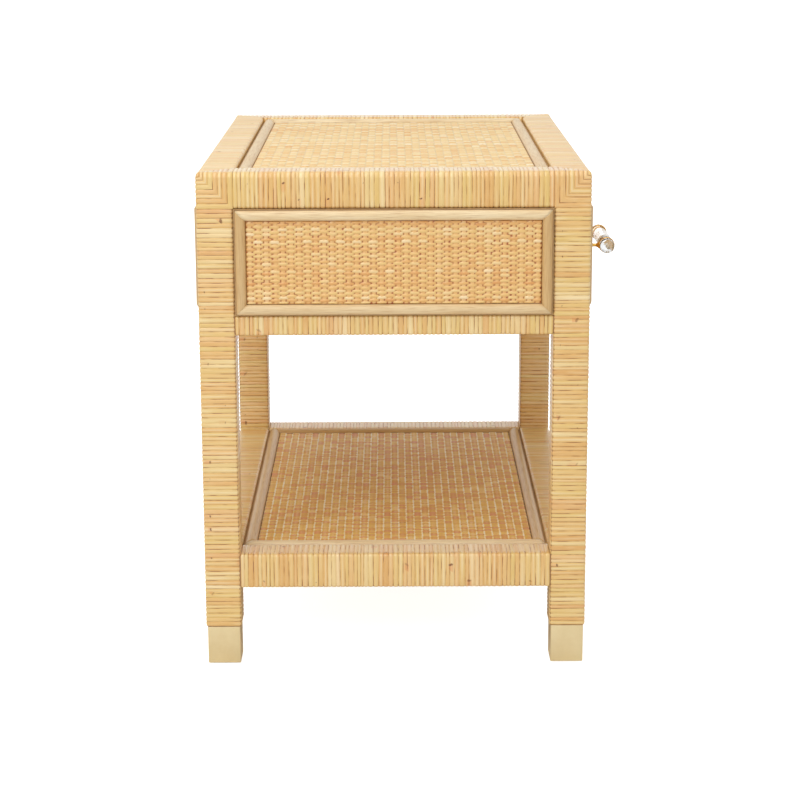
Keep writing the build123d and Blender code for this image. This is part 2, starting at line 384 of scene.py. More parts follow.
def dress(sockets, colour, roughness, height=None, relief=0.0):
    # Colour, roughness and, where a height is given, a bump of that relief.
    connect(sockets, {"Base Color": colour, "Roughness": roughness})
    if height is not None:
        bump = addNode("Bump", {"Height": height, "Distance": relief, "Strength": 1.0})
        connect(sockets, {"Normal": bump.outputs["Normal"]})


peelLook = {
    "tones": ((221, 163, 88), (230, 184, 107), (235, 197, 123), (230, 196, 114), (246, 221, 164)),
    "tonePlaces": (0.16, 0.34, 0.48, 0.62, 0.8),
    "ownShare": 0.5,      # how much of the tone is the strip's own
    "driftShare": 0.26,      # how much drifts along it and from strip to strip
    "blush": ((236, 182, 126), 0.6, 1.0, 0.0, 0.45),      # the pinkish cast that some strips have
    # painted highlight: a pale tone laid on fine streaks and on the crowns of the strips
    "streak": ((206, 148, 76), 0.4, 0.75, 0.0, 0.5),
    "paintedSheen": ((250, 230, 184), 0.5, 0.8, 0.0, 0.4),
    "crestHighlightRange": (0.26, 0.08, 0.0, 0.42),
    "crestHighlightBreaks": (0.4, 0.62),
    "gap": (144, 76, 28),
    "gapEdge": (0.39, 0.48),      # from a strip's middle, as a share of its width
    "gapBreaks": (0.44, 0.62, 0.16, 1.0),
    "mark": (98, 36, 6),
    "markShare": 0.95,
    "stain": (222, 126, 56),
    "stainShare": 0.35,
    "knots": 0.12,      # share of the cells that hold a knot
    "roughness": (0.3, 0.7, 0.34, 0.5),
    "coatRange": (0.36, 0.46, 0.8, 0.08),
    "coatOnKnots": (0.0, 0.5, 1.0, 0.05),
    "relief": 0.16 * mm,
}


def makePeel():
    # First coordinate: metres along the strip. Second: strip number, with the place across it as fraction.
    look = peelLook
    material, sockets = startMaterial("rattanPeel", {"Coat Roughness": 0.22})
    place = surfacePlace()
    parts = separate(place)
    strip = calc("FLOOR", parts[1])
    edge = calc("ABSOLUTE", calc("SUBTRACT", calc("FRACT", parts[1]), 0.5))
    own = addNode("TexWhiteNoise", {"W": strip}, noise_dimensions="1D").outputs
    drift = noise(stretch((parts[0], strip), (9.0, 3.7)), 1.0, 2.0)
    neighbours = noise(stretch((parts[0], strip), (1.5, 0.21)), 1.0, 1.0)
    tone = plus(times(own["Value"], look["ownShare"]),
                times(plus(drift, neighbours), look["driftShare"]))
    colour = colourRamp(tone, look["tonePlaces"], look["tones"])
    cast = addNode("SeparateColor", {0: own["Color"]}).outputs
    colour = shadeBy(colour, cast[1], *look["blush"])
    inStrip = combine(parts[0], times(parts[1], knotShape["stripWidth"]), strip)
    fibre = useGroup(fibreGroup, Place=inStrip, Along=22.0, Across=1500.0)
    colour = shadeBy(colour, fibre["Streak"], *look["streak"])
    # painted highlight on fine streaks and, broken up along the strip, on each strip's crown
    colour = shadeBy(colour, fibre["Fine"], *look["paintedSheen"])
    crest = times(rescale(edge, *look["crestHighlightRange"], smooth=True),
                  rescale(drift, *look["crestHighlightBreaks"]))
    colour = mixColour(crest, colour, look["paintedSheen"][0])
    knots = useGroup(knotGroup, Place=place, Amount=look["knots"])
    colour = mixColour(times(knots["Stain"], look["stainShare"]), colour, look["stain"])
    colour = mixColour(times(knots["Mark"], look["markShare"]), colour, look["mark"])
    seam = calc("FLOOR", plus(parts[1], 0.5))
    breaks = noise(stretch((parts[0], seam), (38.0, 5.1)), 1.0, 2.0)
    breaks = rescale(breaks, *look["gapBreaks"])
    gap = times(rescale(edge, *look["gapEdge"], smooth=True), breaks)
    colour = mixColour(gap, colour, look["gap"])
    coat = rescale(edge, *look["coatRange"])
    connect(sockets, {"Coat Weight": times(coat, rescale(knots["Mark"], *look["coatOnKnots"]))})
    height = plus(times(fibre["Streak"], 0.7), times(knots["Mark"], -0.8))
    dress(sockets, colour, rescale(fibre["Streak"], *look["roughness"]), height, look["relief"])
    return material


beadLook = {
    "light": (245, 226, 186),
    "mid": ((231, 202, 152), 0.35, 0.65),
    "paintedShade": (206, 166, 104),      # painted shade: the darker tone that uprights, strips running front to back and the shelf's far strip get more of, for less light falling on them
    "fibre": ((172, 122, 68), 0.48, 0.74, 0.0, 0.75),
    "rim": (112, 58, 16),      # painted shade in the cracks beside the strip
    "roughness": (0.3, 0.7, 0.4, 0.58),
    "relief": 0.25 * mm,
}


def makeBead():
    # Bare rattan core: pale and dry, with open pores drawn out along the strip.
    look = beadLook
    material, sockets = startMaterial("bareRattan", {"Coat Weight": 0.3, "Coat Roughness": 0.3})
    place = surfacePlace()
    fibre = useGroup(fibreGroup, Place=place, Along=30.0, Across=1400.0)
    broad = noise(stretch(separate(place), (6.0, 60.0)))
    colour = shadeBy(look["light"], broad, *look["mid"])
    # painted shade: some strips are darker for how the light falls on them
    colour = mixColour(pointValue("shade"), colour, look["paintedShade"])
    colour = shadeBy(colour, fibre["Streak"], *look["fibre"])
    # painted shade along the cracks beside the strip
    colour = mixColour(pointValue("rim"), colour, look["rim"])
    height = plus(fibre["Streak"], times(fibre["Fine"], 0.4))
    dress(sockets, colour, rescale(fibre["Streak"], *look["roughness"]), height, look["relief"])
    return material


# Each look has a dark tone for the painted shade in the hollows, and a depth: the most that the colour turns
# to it.
weaveLooks = {
    "upright": {
        "tones": ((222, 158, 86), (230, 178, 104), (235, 192, 118), (236, 198, 124), (247, 221, 172)),
        "hollowShade": (166, 78, 26),
        "stake": (233, 178, 110),
        "streak": (204, 144, 76),
        "depth": 0.95,
    },
    # paler, less yellow tones: painted highlight for the white the top mirrors at a grazing angle
    "top": {
        "tones": ((226, 166, 94), (233, 192, 124), (238, 208, 146), (240, 215, 156), (250, 236, 202)),
        "hollowShade": (186, 102, 40),
        "stake": (234, 188, 124),
        "streak": (212, 158, 92),
        "depth": 0.95,
    },
    # brighter tones: partly the shelf's own more varied colour, partly painted light for the light the
    # compartment above keeps off it
    "shelf": {
        "tones": ((224, 150, 102), (220, 160, 80), (230, 188, 92), (252, 218, 146), (255, 248, 222)),
        "hollowShade": (120, 58, 18),
        "stake": (230, 168, 106),
        "streak": (190, 128, 62),
        "depth": 1.0,
    },
}
weaveRanges = {
    "tonePlaces": (0.0, 0.25, 0.5, 0.7, 1.0),
    "wander": (0.3, 0.7, -0.1, 0.1),
    "stakeShare": 0.6,
    "streak": (0.45, 0.75, 0.0, 0.35),
    "lift": (0.5, 0.14),      # painted shade in the hollows grows from the first height to the second
    "hollowShadeBreaks": (0.38, 0.6, 0.35, 1.0),
    "roughness": (0.3, 0.7, 0.38, 0.52),
    "relief": 0.12 * mm,
}


def makeWeave(name, look):
    # tone, lift and kind are worked out with the surface: which strand shows, how high it lies, and
    # whether it is a stake (1) or a filling strand (0).
    ranges = weaveRanges
    material, sockets = startMaterial(name, {"Coat Weight": 0.6, "Coat Roughness": 0.25})
    place = surfacePlace()
    tone = plus(pointValue("tone"), rescale(noise(place, 30.0), *ranges["wander"]))
    colour = colourRamp(tone, ranges["tonePlaces"], look["tones"])
    isStake = times(pointValue("kind"), ranges["stakeShare"])
    colour = mixColour(isStake, colour, look["stake"])
    fibre = useGroup(fibreGroup, Place=place, Along=60.0, Across=2200.0)
    colour = shadeBy(colour, fibre["Streak"], look["streak"], *ranges["streak"])
    # painted shade in the hollows: the lower a strand lies, the more its colour turns to the dark hollow
    # tone, broken up by noise
    paintedShade = rescale(pointValue("lift"), *ranges["lift"], 0.0, look["depth"], smooth=True)
    paintedShade = times(paintedShade, rescale(noise(place, 110.0, 2.0), *ranges["hollowShadeBreaks"]))
    colour = mixColour(paintedShade, colour, look["hollowShade"])
    roughness = rescale(fibre["Fine"], *ranges["roughness"])
    dress(sockets, colour, roughness, fibre["Streak"], ranges["relief"])
    return material


woodRanges = {
    "ring": 55.0,      # rings in a metre
    "ringShare": 0.38,
    "pores": (0.5, 0.75, 0.0, 0.5),
    "roughness": (0.3, 0.7, 0.52, 0.68),
    "relief": 0.08 * mm,
}


def makeWood(name, light, dark, axis):
    # Grain runs along the given axis of the frame.
    material, sockets = startMaterial(name)
    turn = {"X": (0, 0, 0), "Y": (0, 0, -math.pi / 2), "Z": (0, math.pi / 2, 0)}[axis]
    place = addNode("Mapping", {"Vector": solidPlace(), "Rotation": turn}).outputs[0]
    grain = useGroup(grainGroup, Place=place, Ring=woodRanges["ring"])
    colour = mixColour(times(grain["Rings"], woodRanges["ringShare"]), light, dark)
    colour = shadeBy(colour, grain["Pores"], dark, *woodRanges["pores"])
    roughness = rescale(grain["Pores"], *woodRanges["roughness"])
    dress(sockets, colour, roughness, grain["Pores"], woodRanges["relief"])
    return material


metalRanges = {
    "tone": (0.35, 0.7),
    "middle": (0.3, 0.7),      # where most of a noise's values lie
    "dulled": 0.1,      # how much rougher smudges are
    "relief": 0.02 * mm,
}


def makeMetal(name, light, dark, roughness, size, hairline):
    material, sockets = startMaterial(name, {"Metallic": 1.0})
    wear = useGroup(wearGroup, Place=solidPlace(), Size=size)
    colour = shadeBy(light, wear["Smudge"], dark, *metalRanges["tone"])
    middle = metalRanges["middle"]
    rough = plus(rescale(wear["Smudge"], *middle, roughness, roughness + metalRanges["dulled"]),
                 rescale(wear["Hairline"], *middle, -hairline, hairline))
    dress(sockets, colour, rough, wear["Hairline"], metalRanges["relief"])
    return material


def makePlastic(name, light, dark, size, roughness, shaderValues=None):
    material, sockets = startMaterial(name, shaderValues)
    smudge = useGroup(wearGroup, Place=solidPlace(), Size=size)["Smudge"]
    dress(sockets, mixColour(smudge, light, dark), rescale(smudge, *roughness))
    return material


# Name: light tone, dark tone, roughness, fineness of smudges, strength of hairlines.
metalLooks = {
    "satinBrass": ((231, 213, 170), (223, 203, 158), 0.4, 25.0, 0.05),
    "polishedBrass": ((226, 180, 96), (206, 154, 70), 0.16, 200.0, 0.02),
    "paleBrass": ((216, 202, 178), (196, 178, 148), 0.3, 300.0, 0.02),
    "zincSteel": ((190, 189, 186), (182, 181, 179), 0.42, 180.0, 0.06),
}
metals = {name: makeMetal(name, *look) for name, look in metalLooks.items()}
peel = makePeel()
bead = makeBead()
weaves = {kind: makeWeave(kind + "WovenRattan", look) for kind, look in weaveLooks.items()}
clear = makePlastic("clearAcrylic", (252, 252, 252), (244, 247, 248), 90.0, (0.4, 0.8, 0.015, 0.06),
                    {"Transmission Weight": 1.0, "IOR": 1.49})
nylon = makePlastic("glideNylon", (224, 220, 210), (196, 190, 178), 300.0, (0.3, 0.7, 0.45, 0.65))
print("materials made")


# Wound peel.
windLook = {
    "pitch": 5.6 * mm,      # width of one strip
    "groove": 0.72 * mm,      # how far the gap between strips lies under their crowns
    "uneven": 0.16,      # share by which strip widths differ
    "wander": 0.32 * mm,      # how far a strip's edge strays from straight
    "twice": 0.6,      # how strong the stray's second wave is
    "sink": 0.22 * mm,      # how far some strips lie below the others
    "round": 2.6,      # power of the crown's curve: 2 is a circle, more is flatter
    "steps": np.array([0.0, 0.09, 0.28, 0.5, 0.72, 0.91]),
    "cornerSteps": 4,
    "sideSteps": 5,
}
edgeRadius = {
    "upright": 4.2 * mm,
    "top": 7.5 * mm,
    "rail": 4.0 * mm,
    "tipExtra": 1.4 * mm,     # the very tip of a corner falls away further
    "tipReach": 26.0 * mm,    # and this far along its radii are the top edge's own
}
seams = {"count": 0}      # strips wound so far, so that no two pieces share a strip's colour
postBox = cadSpan("leg_post_front_left")
wrapBoxes = {corner: cadSpan("leg_wrap_" + corner) for corner in corners}
wallThickness = float(postBox[0][0] - wrapBoxes["front_left"][0][0])
legSize = float(np.ptp([wrapBoxes["front_left"][0][0], wrapBoxes["front_left"][1][0]]))
frameLow = np.min([box[0] for box in wrapBoxes.values()], axis=0)
frameHigh = np.max([box[1] for box in wrapBoxes.values()], axis=0)
frameMiddle = (frameLow + frameHigh) / 2


def crownAt(across):
    # 1 on the middle of a strip and 0 at its edges: 1 - |2f - 1|^round.
    return 1 - np.abs(2 * across - 1) ** windLook["round"]


def stripEdges(length, rng):
    # Running total of uneven widths, stretched to end exactly at the length.
    count = max(2, round(length / windLook["pitch"]))
    widths = 1 + windLook["uneven"] * rng.standard_normal(count).clip(-2, 2)
    return np.concatenate([[0], np.cumsum(widths)]) * length / widths.sum()


def roundedPath(halfA, halfB, radii):
    # Closed outline of a rectangle with quarter circles for corners, anticlockwise from its +a side.
    # radii holds one for each of the corners ++, -+, --, +-.
    arc = np.linspace(0, np.pi / 2, windLook["cornerSteps"] + 1)
    share = np.linspace(0, 1, windLook["sideSteps"] + 1)[1:-1, None]
    signs = ((1, 1), (-1, 1), (-1, -1), (1, -1))
    angles = [arc + k * np.pi / 2 for k in range(4)]
    normals = [np.stack([np.cos(angle), np.sin(angle)], -1) for angle in angles]
    arcs = [np.array([sa * (halfA - r), sb * (halfB - r)]) + r * normal
            for (sa, sb), r, normal in zip(signs, radii, normals)]
    points, directions = [], []
    for k in range(4):
        start, end = arcs[k - 1][-1], arcs[k][0]
        points += [start + (end - start) * share, arcs[k]]
        directions += [np.repeat(normals[k][:1], len(share), 0), normals[k]]
    points, directions = np.concatenate(points), np.concatenate(directions)
    gaps = np.linalg.norm(np.roll(points, -1, 0) - points, axis=1)
    return points, directions, np.concatenate([[0], np.cumsum(gaps)])


def woundSleeve(centre, axes, halfA, halfB, length, radii, rng):
    # Strips wound round a bar. A point lies on the outline, moved in by groove * (1 - crown), and moved
    # along the bar by a sum of sines that differs from seam to seam. The two last rings line the
    # inside, so it is closed.
    look = windLook
    a, b, along = axes
    outline, normals, walk = roundedPath(halfA, halfB, radii)
    edges = stripEdges(length, rng)
    count = len(edges) - 1
    turn = walk[:-1] / walk[-1] * 2 * np.pi
    phase = rng.uniform(0, 2 * np.pi, (2, count + 1, 1))
    size = look["wander"] * rng.uniform(0.3, 1.0, (2, count + 1, 1))
    stray = size[0] * np.sin(turn + phase[0]) + look["twice"] * size[1] * np.sin(2 * turn + phase[1])
    stray[[0, -1]] = 0
    seam = edges[:, None] + stray
    step = look["steps"][:, None]
    reach = (seam[:-1, None] * (1 - step) + seam[1:, None] * step).reshape(-1, len(turn))
    sunk = look["sink"] * rng.uniform(0, 1, (count, 1, 1)) ** 2
    tilt = 0.5 * look["sink"] * rng.uniform(-1, 1, (count, 1, 1)) * (2 * step - 1)
    depth = look["groove"] * (1 - crownAt(step)) + (sunk + tilt).clip(0) * crownAt(step)
    depth = np.append(depth.reshape(-1), look["groove"])
    flat = outline - normals * depth[:, None, None]
    inner = outline - normals * wallThickness
    flat = np.concatenate([flat, [inner, inner]])
    reach = np.concatenate([reach, seam[-1:], seam[-1:], seam[:1]])
    points = centre + flat[..., :1] * a + flat[..., 1:] * b + reach[..., None] * along
    number = np.append((np.arange(count)[:, None] + look["steps"]).reshape(-1), [count] * 4)
    uv = spread(walk[None, :], number[:, None] + seams["count"])
    seams["count"] += count + 1
    return patch(points, uv, wrapRows=True, wrapCols=True)


def railSpan(level, place):
    # The wrapped rail: its core grown by the peel, cut off at the faces of the legs.
    low, high = cadSpan(f"{level}_rail_{place}")
    run = 0 if place in ("front", "back") else 1
    low, high = low - wallThickness, high + wallThickness
    low[run] = frameLow[run] + legSize
    high[run] = frameHigh[run] - legSize
    return low, high, run


def windRails(level, rng):
    sleeves = []
    for place in places:
        low, high, run = railSpan(level, place)
        half = (high - low) / 2
        start = np.where(np.arange(3) == run, low, (low + high) / 2)
        across, rise = (1, 2) if run == 0 else (2, 0)
        radii = [edgeRadius["rail"]] * 4
        if level == "top":      # the outer top edge matches the rounding of the corner blocks
            outerEdge = 0 if place in ("back", "right") else 1 if run == 0 else 3
            radii[outerEdge] = edgeRadius["top"]
        axes = np.eye(3)[[across, rise, run]]
        sleeves.append(woundSleeve(start, axes, half[across], half[rise], high[run] - low[run], radii, rng))
    return sleeves


def cornerBlock(corner, depthDown, rng):
    # A cube's corner where three windings meet. With dx, dy, dz the distances from the two outer
    # faces and the top, the strip coordinate is the larger of the two that run in a face, so strips
    # turn at each diagonal. A sharp point d is rounded to q + r (d - q) / |(d - q) / r| / r, with
    # q = max(d, r). The radii r ease from the upright edge's values at the tip to those of the top edges.
    radius = edgeRadius
    low, high = wrapBoxes[corner]
    side = -1 if "left" in corner else 1
    face = -1 if "front" in corner else 1
    origin = np.array([low[0] if side < 0 else high[0], low[1] if face < 0 else high[1], high[2]])
    inward = np.array([-side, -face, -1])
    edges = stripEdges(legSize, rng)
    fine, number = (between(line, windLook["steps"]) for line in (edges, np.arange(len(edges))))
    steps = [fine, fine, fine * depthDown / legSize]
    count = len(fine)
    patches, index = [], []
    for flatAxis in range(3):
        u, v = [axis for axis in range(3) if axis != flatAxis]
        grid = np.zeros((count, count, 3))
        grid[..., u] = steps[u][:, None]
        grid[..., v] = steps[v][None, :]
        numbers = np.maximum(number[:, None], number[None, :])
        away = easeIn(np.clip(grid[..., :2].max(-1) / radius["tipReach"], 0, 1))
        flatRadius = radius["upright"] + (radius["top"] - radius["upright"]) * away
        downRadius = radius["top"] + radius["tipExtra"] * (1 - away)
        radii = np.stack([flatRadius, flatRadius, downRadius], -1)
        nearest = np.maximum(grid, radii)
        unit = (grid - nearest) / radii
        unit = unit / np.maximum(np.linalg.norm(unit, axis=-1, keepdims=True), 1e-12)
        normal = unit / radii
        normal /= np.linalg.norm(normal, axis=-1, keepdims=True)
        sunk = windLook["groove"] * (1 - crownAt(numbers % 1))
        points = origin + inward * (nearest + radii * unit - normal * sunk[..., None])
        uv = spread(np.minimum(steps[u][:, None], steps[v][None, :]), numbers + seams["count"])
        order = np.arange(count * count).reshape(count, count)
        if np.linalg.det(np.eye(3)[[u, v, flatAxis]]) * side * face > 0:
            points, uv, order = points.transpose(1, 0, 2), uv.transpose(1, 0, 2), order.T
        index.append(order + flatAxis * count * count)
        patches.append(patch(points, uv))
    seams["count"] += len(edges)
    block = joinPatches(patches)
    inner = origin + inward * np.array([legSize, legSize, depthDown])
    block["points"] = np.concatenate([block["points"], inner[None]])
    last = [len(block["points"]) - 1]
    lids = [np.concatenate([index[1][-1, ::-1], index[2][-1, 1:], last]),
            np.concatenate([index[0][-1, ::-1], index[2][1:, -1], last])[::-1],
            np.concatenate([index[0][::-1, -1], index[1][1:, -1], last])]
    block["rings"] = [lid if side * face < 0 else lid[::-1] for lid in lids]
    return weld(block)


def windLegs():
    blockLow = railSpan("top", "front")[0][2]
    for k, corner in enumerate(corners):
        rng = np.random.default_rng(seeds["legs"] + k)
        low, high = wrapBoxes[corner]
        start = np.array([*(low[:2] + high[:2]) / 2, low[2]])
        sleeve = woundSleeve(start, np.eye(3), legSize / 2, legSize / 2, blockLow - low[2],
                             [edgeRadius["upright"]] * 4, rng)
        block = cornerBlock(corner, high[2] - blockLow, rng)
        addPiece("leg_winding_" + corner, [sleeve, block], peel, "leg_wrap_" + corner)


windLegs()
for number, level in enumerate(levels):
    windings = windRails(level, np.random.default_rng(seeds["rails"] + number))
    addPiece(level + "_rail_windings", windings, peel, level + "_rail_wraps")
print("legs and rails wound with", seams["count"], "strips")


# Woven sheets and their beads.
weaveSize = {
    "stakePitch": 9.8 * mm,
    "rowPitch": 2.95 * mm,
    "stakeSteps": (-0.5, -0.33, -0.2, 0.0, 0.2, 0.33),      # grid lines for each stake, in pitches
    "rowSteps": (-0.5, -0.25, 0.0, 0.25),
    "stakeWide": 0.26,      # half width of a stake, in stake pitches
    "stakeHigh": 0.68,      # height of its crown, as a share of the sheet
    "rowWide": (0.4, 0.69),   # half width of a filling strand where it dives and where it floats
    "floatEnd": (0.5, 0.72),  # where a float starts to dive and is down, in stake pitches from its middle
    "arch": 0.18,      # how far a float falls from its middle to where it dives
    "sway": (0.15, 0.55),     # how far rows stray sideways, and how fast along them
    "floor": 0.1,      # the backing, as a share of the sheet
    "floorTone": 0.2,
    "edgeShade": 1.3 * mm,    # the sheet sinks and takes painted shade this near its border
    "edgeHigh": 0.35,      # share of its height that is left at the border
    # share of the lift left at the border: less lift, more painted shade
    "edgeShadeLift": 0.3,
    "spare": 4,      # rows and stakes drawn beyond the sheet, for strands cut by its border
}


def wovenPatch(centre, axes, width, length, top, rng, ribHighlight, mottle, firstRow, closed):
    # Plain weave as a height over the sheet. Strand j floats over every second stake: with x the
    # distance in stake pitches from the middle of a float, it lies at the crest up to floatEnd and
    # then dives. Its back is an ellipse across the row, as is a stake's. The height is the largest
    # of the three nearest rows, the nearest stake and the backing.
    look = weaveSize
    stakes = max(2, round(width / look["stakePitch"]))
    rows = max(2, round(length / look["rowPitch"]))
    s = np.append((np.arange(stakes)[:, None] + look["stakeSteps"]).reshape(-1), stakes - 0.5)[None, :]
    t = np.append((np.arange(rows)[:, None] + look["rowSteps"]).reshape(-1), rows - 0.5)[:, None]
    manyRows, manyStakes, before = rows + look["spare"], stakes + look["spare"], look["spare"] // 2
    rowTone = rng.beta(1.4, 1.7, manyRows)
    rowWidth = rng.normal(1, 0.06, manyRows)
    rowShift = rng.normal(0, 0.05, manyRows)
    wave = rng.uniform(0, 2 * np.pi, (manyRows, 1)) * 0.15 + rng.uniform(0, 2 * np.pi)
    mottle, mottleRows = mottle
    patches = rng.normal(0, mottle, (rows // mottleRows + 5, manyStakes))
    floatTone = np.repeat(patches, mottleRows, axis=0)[:manyRows]
    floatTone = floatTone + rng.normal(0, 0.05, (manyRows, manyStakes))
    floatHigh = rng.uniform(0.9, 1.0, (manyRows, manyStakes))
    stakeTone = rng.uniform(0.3, 0.9, manyStakes)
    stakeDrift = rng.normal(0, 0.03, manyStakes)
    full = 0 * s + 0 * t
    layers = {"best": full + look["floor"], "tone": full + look["floorTone"], "kind": full}

    def lay(height, tone, kind, covered=True):
        # The strand shows wherever it is higher than what is already there.
        take = (height > layers["best"]) & covered
        for key, value in (("best", height), ("tone", tone), ("kind", kind)):
            layers[key] = np.where(take, value, layers[key])

    nearStake = np.round(s).astype(int)
    away = (s - nearStake - stakeDrift[nearStake + before]) / look["stakeWide"]
    lay(look["stakeHigh"] * lip(away), stakeTone[nearStake + before], 1.0)
    # painted highlight: paler strands on the lines between stakes, where overlapping floats lie highest, and
    # slightly darker by the stakes
    ribHighlightTone = ribHighlight * np.clip(5 * np.abs(s - nearStake) - 2, -0.1, 0.5)
    diveStart, diveEnd = look["floatEnd"]
    thin, wide = look["rowWide"]
    sway, swayFast = look["sway"]
    for shift in (-1, 0, 1):
        row = np.round(t).astype(int) + shift
        slot = np.clip(row + before, 0, manyRows - 1)
        phase = s + row + firstRow
        x = np.abs((phase + 1) % 2 - 1)
        middle = np.clip(2 * np.round(phase / 2) - row - firstRow + before, 0, manyStakes - 1).astype(int)
        up = 1 - easeIn(np.clip((x - diveStart) / (diveEnd - diveStart), 0, 1))
        crest = (1 - look["arch"] * (x / diveStart) ** 2) * up * floatHigh[slot, middle]
        half = (thin + (wide - thin) * (1 - np.clip(x / diveEnd, 0, 1) ** 3)) * rowWidth[slot]
        away = (t - row - rowShift[slot] - sway * np.sin(swayFast * s + 6 * wave[slot[:, 0]])) / half
        tone = np.clip(rowTone[slot] * 0.8 + 0.1 + floatTone[slot, middle], 0, 1 - 0.36 * ribHighlight) + ribHighlightTone
        lay(look["floor"] + (crest - look["floor"]) * lip(away), tone, 0.0, np.abs(away) < 1)
    p = ((s + 0.5) / stakes - 0.5) * width + 0 * t
    q = ((t + 0.5) / rows - 0.5) * length + 0 * s
    border = width / 2 - np.abs(p)
    for end, isClosed in zip((q + length / 2, length / 2 - q), closed):
        border = np.minimum(border, end) if isClosed else border
    sunk = np.clip(border / look["edgeShade"], 0, 1)
    best = np.clip(layers["best"] * (look["edgeHigh"] + (1 - look["edgeHigh"]) * sunk), look["floor"], 1)
    # the lift is cut down near the border, so painted shade gathers there
    lift = best * (look["edgeShadeLift"] + (1 - look["edgeShadeLift"]) * sunk)
    grids = (p, q, lift, layers["tone"], layers["kind"])
    p, q, lift, tone, kind = (np.pad(grid, 1, mode="edge") for grid in grids)
    best = np.pad(best * top, 1, constant_values=0)
    a, b, out = axes
    points = centre + p[..., None] * a + q[..., None] * b + best[..., None] * out
    uv = spread(p, q + firstRow * look["rowPitch"])
    sheet = patch(points, uv, values={"tone": tone, "lift": lift, "kind": kind})
    n, m = best.shape
    index = np.arange(n * m).reshape(n, m)
    border = [index[0, 1:-1], index[2:-1, -1], index[-1, m - 3:0:-1], index[n - 3:1:-1, 0]]
    sheet["rings"].append(np.concatenate(border)[::-1])
    return weld(sheet)


beadShape = {
    "profileSteps": 14,
    "lengthSteps": 70,
    "waver": 0.14 * mm,       # how far the strip's crown strays
    "waverFast": 9,
    "shades": (0.35, 0.85, 0.0, 0.75),     # how much painted shade the strips below, right, above and left have
    "outerCrackShade": (1.0, 1.3, 0.36),      # painted shade in the crack: its darkness, how full it is and how wide, as an angle
    "innerCrackShade": (0.6, 1.1, 0.4),
}


def crackShadeAt(angle, rim):
    dark, full, wide = rim
    return dark * np.clip(full - angle / wide, 0, 1)


def beadStrips(centre, axes, length, breadth, wide, high, shades, rng):
    # A half-round strip along each side, mitred at 45 degrees: at distance w from the outer edge the
    # strip is 2 w shorter. Across it, w = wide (1 - cos t) / 2 and the height is high sin t.
    look = beadShape
    a, b, out = axes
    t = np.linspace(0, np.pi, look["profileSteps"] + 1)[None, :]
    place = np.linspace(-1, 1, look["lengthSteps"] + 1)[:, None]
    w = wide * (1 - np.cos(t)) / 2 + 0 * place
    girth = np.pi * (wide + high) / 4
    walk = np.append(t[0] / np.pi * girth, girth + wide)
    # painted shade along both long edges, stronger on the outer one beside the rail
    rim = np.maximum(crackShadeAt(t, look["outerCrackShade"]), crackShadeAt(np.pi - t, look["innerCrackShade"])) + 0 * place
    sides = ((length, breadth, a, b), (breadth, length, b, -a),
             (length, breadth, -a, -b), (breadth, length, -b, a))
    strips = []
    for (span, offset, along, across), tone in zip(sides, shades):
        wave = np.sin(place * span * look["waverFast"] + rng.uniform(0, 6))
        waver = look["waver"] * (1 - place ** 8) * wave * np.sin(t)
        height = high * np.sin(t) - 0.8 * np.abs(waver)
        reach = place * (span / 2 - w)
        side = w - offset / 2
        points = centre + reach[..., None] * along + side[..., None] * across + height[..., None] * out
        uv = spread(rng.uniform(0, 3) + place * span / 2, walk[None, :])
        values = {"shade": 0 * rim + tone, "rim": rim[:, ::-1]}
        points = points[:, ::-1]
        strips.append(closeEnds(patch(points, uv[:, ::-1], wrapCols=True, values=values), points))
    return strips


# Axes are along, up and out of the sheet. mottle is how much floats differ, and by how many rows.
upright = {"deck": False, "ribHighlight": 0.0, "mottle": (0.06, 1), "shades": beadShape["shades"],
           "body": "carcass"}
deck = {"axes": (axisX, axisY, axisZ), "deck": True, "body": "carcass"}
panels = {
    "top": {**deck, "ribHighlight": 0.1, "mottle": (0.12, 1), "shades": (0.4, 0.0, 0.35, 0.0)},
    "shelf": {**deck, "ribHighlight": 1.0, "mottle": (0.22, 2), "shades": (0.85, 1.0, 0.75, 0.0)},
    "side_left": {**upright, "axes": (-axisY, axisZ, -axisX)},
    "side_right": {**upright, "axes": (axisY, axisZ, axisX)},
    "back": {**upright, "axes": (-axisX, axisZ, axisY)},
    "drawer_front": {**upright, "axes": (axisX, axisZ, -axisY), "body": "drawer"},
}


def makePanel(name, panel, rng):
    a, b, out = panel["axes"]
    low, high = cadSpan(name + "_webbing")
    outerLow, outerHigh = cadSpan(name + "_beads")
    length, breadth, thickness = (abs((high - low) @ axis) for axis in (a, b, out))
    outerLength, outerBreadth, beadHigh = (abs((outerHigh - outerLow) @ axis) for axis in (a, b, out))
    base = (low + high) / 2 - out * thickness / 2
    wide = (outerLength - length) / 2
    strips = beadStrips(base, (a, b, out), outerLength, outerBreadth, wide, beadHigh, panel["shades"], rng)
    addPiece(name + "_bead_strips", strips, bead, name + "_beads", panel["body"])
    sheets = [("", base, (a, b, out), length, breadth, 0, (True, True))]
    if panel["deck"]:       # filling strands run front to back, and the sheet is made in three parts
        rows = round(length / weaveSize["rowPitch"])
        third = rows // 3
        sheets = []
        shares = (("_left", 0, third), ("_middle", third, third), ("_right", 2 * third, rows - 2 * third))
        for part, first, share in shares:
            middle = base + a * ((first + share / 2) / rows - 0.5) * length
            closed = (part == "_left", part == "_right")
            sheets.append((part, middle, (-b, a, out), breadth, share / rows * length, first, closed))
    material = weaves.get(name, weaves["upright"])
    for part, middle, axes, width, run, firstRow, closed in sheets:
        sheet = wovenPatch(middle, axes, width, run, thickness, rng, panel["ribHighlight"], panel["mottle"],
                           firstRow, closed)
        addPiece(name + "_weave" + part, [sheet], material, name + "_webbing", panel["body"])


for number, (name, panel) in enumerate(panels.items()):
    makePanel(name, panel, np.random.default_rng(seeds["panels"] + number))
print("six panels woven and edged")


